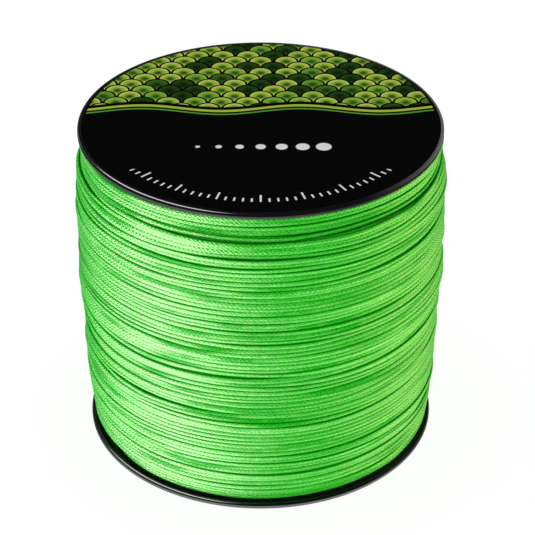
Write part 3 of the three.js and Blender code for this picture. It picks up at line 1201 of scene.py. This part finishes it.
@dataclass
class LineWinding:
    """The wound line: layers of one strand that settle into each other under tension.

    A spacing is a share of a turn, a blur is in steps, and an angle is in degrees.
    """

    sizes: SpoolSizes
    seed: int = 11
    steps: int = 280
    cell: float = 0.05 * MM
    mesh_step: int = 2
    sides: int = 10
    half_width: float = 0.50 * MM
    give: float = 0.967
    half_thickness: float = 0.31 * MM
    flatness: float = 2.3
    roll: float = 0.26
    squeeze: float = 0.12
    press: float = 0.04 * MM
    pitch: float = 0.98 * MM
    layers: int = 5
    shown_layers: int = 3
    fade: float = 4.0 * MM
    base_depth: float = 3.0 * MM
    growth_percent: float = 80.0
    growth_blur: float = 50.0
    outline_blur: float = 12.0
    swell: float = 0.02 * MM
    swell_turns: tuple[int, ...] = (1, 2, 3)
    swell_waves: tuple[float, ...] = (1.0, 2.5, 5.0)
    step_in: float = 1.8 * MM
    step_share: float = 0.075
    step_start: Pair = (110.0, 150.0)
    step_end: Pair = (209.0, 212.0)
    tuck: float = 1.4 * MM
    tuck_share: float = 0.1
    wobbles: tuple[Pair, ...] = ((1 / 8, 0.06 * MM), (1 / 3, 0.07 * MM), (2, 0.08 * MM))
    wander_blur: float = 0.35
    path_blur: float = 1.5
    tilt_blur: float = 3.0
    roll_spacing: float = 1 / 10
    roll_limit: float = 0.4
    squeeze_spacing: float = 1 / 16
    squeeze_limit: float = 0.3
    slip_share: float = 0.45
    slip_tries: int = 9
    slip_cost: float = 0.3
    slip_blur: float = 9.0
    lean_reach: float = 0.7
    lean_share: float = 0.35
    lean_limit: float = 0.25
    lean_blur: float = 4.0
    margin_share: float = 0.9
    bridged: tuple[int, ...] = (1, 2, 3, 5, 8, 12)
    bridge_blur: float = 2.0
    pack_step: tuple[int, int] = (3, 4)
    pack_shrink: float = 0.06 * MM
    pack_gap: float = 0.3 * MM
    drum_gap: float = 0.4 * MM
    pack_map_step: float = 0.12
    outline: tuple[tuple[float, float], ...] = (
        (0.0, 0.965),
        (0.03, 0.975),
        (0.06, 0.99),
        (0.15, 1.0),
        (0.24, 1.01),
        (0.31, 1.016),
        (0.39, 1.01),
        (0.54, 1.035),
        (0.63, 1.024),
        (0.72, 1.03),
        (0.83, 1.025),
        (0.91, 1.007),
        (0.95, 0.994),
        (1.0, 1.0),
    )

    def build(self) -> tuple[bpy.types.Object, list[bpy.types.Object]]:
        """Winds the layers and makes their meshes.

        A trial winding shows how much the layers add at each height, so that the real one
        ends at the outline.

        Returns:
            The inner pack, and the shown layers from the inside out.
        """
        trial = self.start_surface(self.base_depth)
        started = trial.radii.copy()
        self.wind(trial)
        growth = np.percentile(trial.radii - started, self.growth_percent, axis=0)
        surface = self.start_surface(blurred(growth, self.growth_blur, "edge"))
        under, paths = self.wind(surface)
        shown = [
            self.strand_mesh(f"line_layer_{number}", path) for number, path in enumerate(paths, 1)
        ]
        return self.pack_mesh(surface, under), shown

    def start_surface(self, depth: Union[float, np.ndarray]) -> WindingSurface:
        """Makes the surface that the first simulated layer is laid on.

        Args:
            depth: How far it lies under the outline, at each height.

        Returns:
            The surface.
        """
        s = self.sizes
        surface = WindingSurface(
            self.steps, s.rim_thickness, s.height - s.rim_thickness, self.cell
        )
        shares, radii = np.array(self.outline).T
        share = (surface.heights - surface.low) / (surface.high - surface.low)
        base = s.flange_radius * np.interp(share, shares, radii)
        base = blurred(base, self.outline_blur, "edge") - depth
        surface.radii[:] = base[None, :]
        rng = np.random.default_rng(self.seed + 1)
        for turns_round in self.swell_turns:
            for waves in self.swell_waves:
                phases = rng.uniform(0, 2 * math.pi, 2)
                turned = np.cos(turns_round * surface.angles + phases[0])[:, None]
                level = np.cos(waves * math.pi * share + phases[1])
                surface.radii += self.swell * turned * level
        foot = np.clip(1 - share / self.step_share, 0, 1)[None, :]
        surface.radii -= self.step_in * self.left_back(surface.angles)[:, None] * foot
        return surface

    def left_back(self, angles: np.ndarray) -> np.ndarray:
        """1 where the lowest turns step in, at the left and the back, else 0."""
        turned = np.degrees(np.mod(angles, 2 * math.pi))
        started = np.interp(turned, self.step_start, (0.0, 1.0))
        return started * np.interp(turned, self.step_end, (1.0, 0.0))

    def wind(self, surface: WindingSurface) -> tuple[np.ndarray, list[dict[str, np.ndarray]]]:
        """Winds every layer.

        Args:
            surface: The surface that the layers are laid on.

        Returns:
            The surface under the shown layers, and the shown layers' paths.
        """
        rng = np.random.default_rng(self.seed)
        under = surface.radii.copy()
        paths = []
        length = 0.0
        for layer in range(self.layers):
            if layer == self.layers - self.shown_layers:
                under = surface.radii.copy()
            path, length = self.wind_layer(surface, rng, layer % 2 == 0, length)
            if layer >= self.layers - self.shown_layers:
                paths.append(path)
        return under, paths

    def wander(
        self, rng: np.random.Generator, count: int, spacing: float, amount: float
    ) -> np.ndarray:
        """A smooth seeded wobble along a path.

        Args:
            rng: Source of the random draws.
            count: Length of the path, in steps.
            spacing: Share of a turn between the draws.
            amount: Size of the wobble.

        Returns:
            The wobble at each step.
        """
        stride = int(self.steps * spacing)
        knots = np.arange(0, count + 2 * stride, stride)
        draws = rng.normal(0.0, amount, len(knots))
        path = np.interp(np.arange(count), knots, draws)
        return blurred(path, stride * self.wander_blur, "edge")

    def wind_layer(
        self, surface: WindingSurface, rng: np.random.Generator, rising: bool, length: float
    ) -> tuple[dict[str, np.ndarray], float]:
        """Winds one layer from flange to flange.

        Args:
            surface: The surface that it is laid on, which it then becomes part of.
            rng: Source of the random draws.
            rising: Whether it climbs or comes down.
            length: Length of line wound before, in metres.

        Returns:
            The strand's path, and the length of line after it.
        """
        low, high = surface.low + self.margin, surface.high - self.margin
        turns = int(round((high - low) / self.pitch))
        count = turns * self.steps
        height = np.linspace(low, high, count)
        wobble = sum(self.wander(rng, count, spacing, amount) for spacing, amount in self.wobbles)
        near_low = np.clip((height - low) / self.fade, 0, 1)
        near_high = np.clip((high - height) / self.fade, 0, 1)
        height = height + wobble * near_low * near_high
        if not rising:
            height = height[::-1]
        placed, radius, tilt = [], [], []
        for turn in range(turns):
            part = slice(turn * self.steps, (turn + 1) * self.steps)
            z, r, lean = self.lay_turn(surface, height[part])
            placed.append(z)
            radius.append(r)
            tilt.append(lean)
        roll = self.wander(rng, count, self.roll_spacing, self.roll)
        squeeze = self.wander(rng, count, self.squeeze_spacing, self.squeeze)
        path = {
            "height": blurred(np.concatenate(placed), self.path_blur, "edge"),
            "radius": blurred(np.concatenate(radius), self.path_blur, "edge"),
            "tilt": blurred(np.concatenate(tilt), self.tilt_blur, "edge"),
            "width": 1 + np.clip(squeeze, -self.squeeze_limit, self.squeeze_limit),
            "angle": 2 * math.pi * np.arange(count) / self.steps + START_ANGLE,
        }
        path["tilt"] += np.clip(roll, -self.roll_limit, self.roll_limit)
        path["radius"] -= self.tuck * self.near_ends(count)
        step = np.hypot(path["radius"] * 2 * math.pi / self.steps, np.gradient(path["height"]))
        path["along"] = length + np.cumsum(step)
        return path, float(path["along"][-1])

    @property
    def margin(self) -> float:
        """Distance of a strand's middle from the flange that it lies against."""
        return self.half_width * self.margin_share

    def near_ends(self, count: int) -> np.ndarray:
        """1 at both ends of a path, falling to 0 within a share of a turn."""
        step = np.arange(count)
        away = np.minimum(step, count - 1 - step) / (self.steps * self.tuck_share)
        return smooth_rise(np.clip(1 - away, 0, 1))

    def lay_turn(
        self, surface: WindingSurface, wanted: np.ndarray
    ) -> tuple[np.ndarray, np.ndarray, np.ndarray]:
        """Lays one turn: it slips sideways into a groove, then bridges short dips.

        Args:
            surface: The surface that it is laid on.
            wanted: Height at which the guide lays it, at each angle.

        Returns:
            Its height, radius and lean at each angle.
        """
        shares = np.linspace(-self.slip_share, self.slip_share, self.slip_tries)
        offsets = shares * self.half_width * 2
        costs = []
        for offset in offsets:
            rest = self.rest_radius(surface, wanted + offset)
            costs.append(rest + self.slip_cost * offset**2 / self.half_width)
        slip = blurred(offsets[np.argmin(np.array(costs), axis=0)], self.slip_blur, "wrap")
        height = np.clip(wanted + slip, surface.low + self.margin, surface.high - self.margin)
        radius = self.taut(self.rest_radius(surface, height) - self.press)
        lean = blurred(self.lean(surface, height), self.lean_blur, "wrap")
        self.bury(surface, height, radius, lean)
        return height, radius, lean

    def section(self, away: np.ndarray) -> np.ndarray:
        """Height of the strand's flattened oval at a distance from its middle, 0 outside it."""
        share = 1 - np.abs(away / (self.half_width * self.give)) ** self.flatness
        return self.half_thickness * np.clip(share, 0, 1) ** (1 / self.flatness)

    def rest_radius(self, surface: WindingSurface, heights: np.ndarray) -> np.ndarray:
        """Radius at which a strand's middle comes to rest on the surface."""
        index, away = surface.window(heights, self.half_width)
        under = np.take_along_axis(surface.radii, index, axis=1)
        rise = self.section(away)
        return np.where(rise > 0, under + rise, 0).max(axis=1)

    def taut(self, radius: np.ndarray) -> np.ndarray:
        """Radius of a strand under tension, which passes straight over a short dip."""
        step = 2 * math.pi / self.steps
        for stride in self.bridged:
            before, after = np.roll(radius, stride), np.roll(radius, -stride)
            chord = 2 * before * after * math.cos(stride * step) / (before + after)
            radius = np.maximum(radius, chord)
        return blurred(radius, self.bridge_blur, "wrap")

    def lean(self, surface: WindingSurface, heights: np.ndarray) -> np.ndarray:
        """Lean of a strand on the slope under it, in radians."""
        reach = self.half_width * self.lean_reach
        levels = []
        for side in (-1, 1):
            index, _ = surface.window(heights + side * reach, reach / 2)
            levels.append(np.take_along_axis(surface.radii, index, axis=1).mean(axis=1))
        slope = (levels[1] - levels[0]) / (2 * reach)
        return np.clip(np.arctan(slope) * self.lean_share, -self.lean_limit, self.lean_limit)

    def bury(
        self, surface: WindingSurface, heights: np.ndarray, radius: np.ndarray, lean: np.ndarray
    ) -> None:
        """Adds a laid strand to the surface."""
        index, away = surface.window(heights, self.half_width)
        rise = self.section(away)
        top = radius[:, None] + np.tan(lean)[:, None] * away + rise
        under = np.take_along_axis(surface.radii, index, axis=1)
        raised = np.where(rise > 0, np.maximum(under, top), under)
        np.put_along_axis(surface.radii, index, raised, axis=1)

    def strand_mesh(self, name: str, path: dict[str, np.ndarray]) -> bpy.types.Object:
        """Makes one layer of the strand a closed tube of flattened section.

        Args:
            name: The piece's name.
            path: The strand's path.

        Returns:
            The layer.
        """
        kept = {part: values[:: self.mesh_step] for part, values in path.items()}
        points = self.strand_points(kept)
        rings, sides = points.shape[:2]
        quads = ring_faces(rings, sides, closed=False)
        ends = [list(range(sides)), list(range((rings - 1) * sides, rings * sides))[::-1]]
        mesh = bpy.data.meshes.new(name)
        mesh.from_pydata(points.reshape(-1, 3).tolist(), [], quads.tolist() + ends)
        add_strand_map(mesh, kept["along"] / MM, np.arange(sides + 1) / sides)
        return self.finish_mesh(mesh)

    def strand_points(self, path: dict[str, np.ndarray]) -> np.ndarray:
        """Points of the strand's skin.

        Args:
            path: The strand's path.

        Returns:
            A ring of points at each step of the path.
        """
        around = 2 * math.pi * np.arange(self.sides) / self.sides + math.pi
        power = 2 / self.flatness
        out = self.half_thickness * np.sign(np.cos(around)) * np.abs(np.cos(around)) ** power
        side = self.half_width * np.sign(np.sin(around)) * np.abs(np.sin(around)) ** power
        width, angle = path["width"][:, None], path["angle"][:, None]
        out, side = out[None, :] / width, side[None, :] * width
        cos, sin = np.cos(path["tilt"])[:, None], np.sin(path["tilt"])[:, None]
        r = path["radius"][:, None] + out * cos + side * sin
        z = path["height"][:, None] - out * sin + side * cos
        return np.stack((r * np.cos(angle), r * np.sin(angle), z), axis=2)

    def pack_mesh(self, surface: WindingSurface, radii: np.ndarray) -> bpy.types.Object:
        """Makes the inner layers one ring with the relief of the turns under the shown ones.

        Args:
            surface: The winding's grid.
            radii: The surface under the shown layers.

        Returns:
            The inner pack.
        """
        columns = np.arange(0, surface.steps, self.pack_step[0])
        rows = np.arange(0, surface.cells, self.pack_step[1])
        angles = surface.angles[columns][:, None]
        outer = radii[np.ix_(columns, rows)] - self.pack_shrink
        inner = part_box("drum")[1][0] + self.drum_gap
        profile = np.concatenate((outer, np.full((len(columns), 2), inner)), axis=1)
        low, high = surface.low + self.pack_gap, surface.high - self.pack_gap
        levels = np.concatenate((np.clip(surface.heights[rows], low, high), (high, low)))
        levels = np.broadcast_to(levels, profile.shape)
        points = np.stack((profile * np.cos(angles), profile * np.sin(angles), levels), axis=2)
        count, size = profile.shape
        mesh = bpy.data.meshes.new("line_inner_pack")
        quads = ring_faces(count, size, closed=True)
        mesh.from_pydata(points.reshape(-1, 3).tolist(), [], quads.tolist())
        length = np.arange(count + 1) * (2 * math.pi / count) * radii.mean() / MM
        add_strand_map(mesh, length, np.arange(size + 1) * self.pack_map_step)
        return self.finish_mesh(mesh)

    @staticmethod
    def finish_mesh(mesh: bpy.types.Mesh) -> bpy.types.Object:
        """Shades a mesh smooth and puts it in the scene as an object of its name."""
        mesh.polygons.foreach_set("use_smooth", np.ones(len(mesh.polygons), dtype=bool))
        mesh.update()
        obj = bpy.data.objects.new(mesh.name, mesh)
        bpy.context.scene.collection.objects.link(obj)
        return obj


# Stage


@dataclass(frozen=True)
class PhotoCamera:
    """The photograph's camera, from the fit of its two rims, in flange radii and degrees."""

    frame_pixels: float = 535.0
    focal_pixels: float = 1999.29
    distance: float = 9.6751
    height: float = 5.1068
    pitch: float = 32.013
    axis_pixel: float = 260.68
    sensor: float = 36.0
    clip: Pair = (0.01, 20.0)

    def build(self, sizes: SpoolSizes) -> bpy.types.Object:
        """Places the camera in front of the spool.

        Args:
            sizes: Sizes of the spool.

        Returns:
            The camera.
        """
        data = bpy.data.cameras.new("photo_camera")
        data.sensor_width = self.sensor
        data.lens = self.sensor * self.focal_pixels / self.frame_pixels
        data.shift_x = (self.frame_pixels / 2 - self.axis_pixel) / self.frame_pixels
        data.clip_start, data.clip_end = self.clip
        camera = bpy.data.objects.new("photo_camera", data)
        camera.location = (
            0.0,
            -self.distance * sizes.flange_radius,
            sizes.height + self.height * sizes.flange_radius,
        )
        camera.rotation_euler = (math.radians(90.0 - self.pitch), 0.0, 0.0)
        bpy.context.scene.collection.objects.link(camera)
        bpy.context.scene.camera = camera
        return camera


@dataclass(frozen=True)
class Softbox:
    """One area lamp aimed at the spool, or one whose gleam falls on a few pieces only."""

    name: str
    place: tuple[float, float, float]
    size: tuple[float, float]
    power: float
    colour: tuple[float, float, float] = (1.0, 1.0, 1.0)
    only: tuple[str, ...] = ()

    def build(self, target: Vector) -> None:
        """Hangs the lamp.

        Args:
            target: The point that it faces.
        """
        data = bpy.data.lights.new(self.name, "AREA")
        data.shape = "RECTANGLE"
        data.size, data.size_y = self.size
        data.energy = self.power
        data.color = self.colour
        lamp = bpy.data.objects.new(self.name, data)
        lamp.location = self.place
        lamp.rotation_euler = (target - Vector(self.place)).to_track_quat("-Z", "Y").to_euler()
        bpy.context.scene.collection.objects.link(lamp)
        if self.only:
            lamp.visible_diffuse = False
            group = bpy.data.collections.new(self.name)
            for name in self.only:
                group.objects.link(bpy.data.objects[name])
            lamp.light_linking.receiver_collection = group


@dataclass
class Studio:
    """White table, soft lamps, an even sky and the surroundings that glossy faces mirror.

    A start or an end is a pair of angles in degrees, from the front to the right, and a
    top, a horizon or a table is a pair of heights of a direction, from -1 to 1. Each pair
    is where a smooth step begins and where it ends.
    """

    sizes: SpoolSizes
    floor_size: float = 4.0
    table_grey: float = 0.3
    backdrop_light: float = 0.5
    table_light: float = 1.22
    table_shown: float = 0.84
    overhead: float = 0.6
    left_fill: float = 3.0
    far_share: float = 0.06
    front_glare: float = 0.05
    near_glare: float = 1.5
    left_glare: float = 5.3
    right_glare: float = 1.65
    least_glare: float = 0.01
    left_start: Pair = (-118, -88)
    far_left_start: Pair = (-172, -142)
    left_end: Pair = (-10, -46)
    fill_end: Pair = (-50, -90)
    fill_reach: float = 0.7
    right_start: Pair = (55, 95)
    right_end: Pair = (165, 110)
    back_start: Pair = (95, 125)
    lamp_top: Pair = (0.28, 0.08)
    backdrop_top: Pair = (0.25, 0.05)
    horizon: Pair = (-0.1, 0.1)
    near_table: Pair = (0.62, 0.9)
    table: Pair = (0.05, 0.4)
    right_tint: tuple[float, float, float] = (1.0, 0.95, 0.5)
    lamps: tuple[Softbox, ...] = (
        Softbox("left_softbox", place=(-0.651, -0.237, 0.436), size=(0.6, 1.0), power=0.4),
        Softbox(
            "right_softbox",
            place=(0.682, 0.12, 0.436),
            size=(0.5, 0.9),
            power=0.4,
            colour=(1.0, 0.9, 0.5),
        ),
        Softbox(
            "rim_strip",
            place=(-0.31, -0.083, 0.42),
            size=(0.75, 0.22),
            power=4.0,
            only=("top_flange_moulding", "bottom_flange_moulding"),
        ),
    )

    def build(self) -> None:
        """Sets the table, the lamps and the sky."""
        self.build_table()
        target = Vector((0.0, 0.0, self.sizes.height / 2))
        for lamp in self.lamps:
            lamp.build(target)
        self.build_sky()
        bpy.context.scene.view_settings.view_transform = "Standard"

    def build_table(self) -> None:
        """Adds the white table, which glows a little less to the camera than to the spool."""
        Bench.clear()
        bpy.ops.mesh.primitive_plane_add(size=self.floor_size, location=(0, 0, 0))
        table = bpy.context.object
        table.name = table.data.name = "white_table"
        material = bpy.data.materials.new("white_table")
        material.use_nodes = True
        tree = material.node_tree
        tree.nodes.clear()
        seen = Wire(tree, add_node(tree, "LightPath").outputs["Is Camera Ray"])
        shown = seen * (self.table_shown - self.table_light) + self.table_light
        glow = add_node(tree, "Emission", {"Strength": shown})
        diffuse = add_node(tree, "BsdfDiffuse", {"Color": (self.table_grey,) * 3 + (1.0,)})
        both = add_node(tree, "AddShader", {0: diffuse.outputs[0], 1: glow.outputs[0]})
        add_node(tree, "OutputMaterial", {"Surface": both.outputs[0]})
        dress(table, material)
        table.visible_glossy = False

    def build_sky(self) -> None:
        """Lights the scene evenly, shows white where nothing is, and fills the mirror view."""
        world = bpy.data.worlds.new("studio")
        bpy.context.scene.world = world
        world.use_nodes = True
        world.cycles.sampling_method = "NONE"
        tree = world.node_tree
        tree.nodes.clear()
        path = add_node(tree, "LightPath")
        seen = Wire(tree, path.outputs["Is Camera Ray"])
        mirrored = Wire(tree, path.outputs["Is Glossy Ray"])
        direction = add_node(tree, "TexCoord").outputs["Generated"]
        split = add_node(tree, "SeparateXYZ", {0: direction})
        across, back, up = (Wire(tree, socket) for socket in split.outputs)
        turn = across.maths("ARCTAN2", back * -1.0)
        far_left = self.eased(turn, self.far_left_start)
        plain = (seen + mirrored).flipped() * self.even_light(turn, up, far_left) + seen
        view = self.mirror_view(turn, up, far_left)
        parts = {number: value * mirrored + plain for number, value in enumerate(view)}
        colour = add_node(tree, "CombineColor", parts)
        sky = add_node(tree, "Background", {"Color": colour.outputs[0]})
        add_node(tree, "OutputWorld", {"Surface": sky.outputs[0]})

    def even_light(self, turn: Wire, up: Wire, far_left: Wire) -> Wire:
        """Light that falls on dull faces: even from above, more from low down on the left.

        Args:
            turn: Angle from the front to the right, in radians.
            up: Height of the direction, from -1 to 1.
            far_left: 1 from the back of the left side onwards.

        Returns:
            The light's strength.
        """
        low = up * -1.0 + self.fill_reach
        fill = far_left * self.eased(turn, self.fill_end) * low * self.left_fill
        return up.ease(*self.horizon) * self.overhead * (fill + 1.0)

    def mirror_view(self, turn: Wire, up: Wire, far_left: Wire) -> list[Wire]:
        """What glossy faces mirror: a tall light on each side, the table and a backdrop.

        Args:
            turn: Angle from the front to the right, in radians.
            up: Height of the direction, from -1 to 1.
            far_left: 1 from the back of the left side onwards.

        Returns:
            Red, green and blue.
        """
        down = up * -1.0
        tall = up.ease(*self.lamp_top)
        left = self.eased(turn, self.left_start) * (1.0 - self.far_share)
        left = (left + far_left * self.far_share) * self.eased(turn, self.left_end)
        left = left * tall * self.left_glare
        right = self.eased(turn, self.right_start) * self.eased(turn, self.right_end)
        right = right * tall * self.right_glare
        table = down.ease(*self.table) * self.front_glare
        near = down.ease(*self.near_table) * self.near_glare
        behind = self.eased(turn.size(), self.back_start) * up.above(0.0)
        backdrop = behind * up.ease(*self.backdrop_top) * self.backdrop_light
        grey = left + table + near + backdrop + self.least_glare
        return [grey + right * share for share in self.right_tint]

    @staticmethod
    def eased(turn: Wire, degrees: Pair) -> Wire:
        """Smooth step of an angle in radians between two angles in degrees."""
        return turn.ease(*(math.radians(angle) for angle in degrees))


def main() -> None:
    """Builds the spool's sub-assemblies in order, dresses them, and sets the stage."""
    logging.basicConfig(level=logging.INFO, format="%(name)s %(message)s", stream=sys.stdout)
    sizes = SpoolSizes.from_frame()
    PhotoCamera().build(sizes)
    satin = MouldedPlastic("satin_black", SATIN_BLACK, 0.42).make()
    for end in End:
        flange = Flange(sizes, end).build()
        gloss = RimPlastic(
            f"{end.value}_gloss_black",
            GLOSS_BLACK,
            roughness=0.16,
            scratch_share=0.08,
            sizes=sizes,
            end=end,
        )
        dress(flange, gloss.make())
        mount(flange, "flange_plastic", f"{end.value}_flange")
        label = Label(sizes, end)
        film = label.build()
        print_name = f"{end.value}_label_print"
        dress(film, ScaleLabel(print_name, label.middle(), sizes.label_radius).make())
        mount(film, "label_print", label.node)
    hub = Hub(sizes)
    liner = hub.build()
    dress(liner, satin)
    mount(liner, "drum_plastic", "spindle_tube")
    hub.dress_hidden(satin, PaperTape().make())
    braid = BraidedLine().make()
    pack, layers = LineWinding(sizes).build()
    dress(pack, braid)
    mount(pack, "braided_line", "line_pack")
    for layer in layers:
        dress(layer, braid)
        mount(layer, "braided_line", "line_outer_layer")
    Studio(sizes).build()


if __name__ == "__main__":
    main()
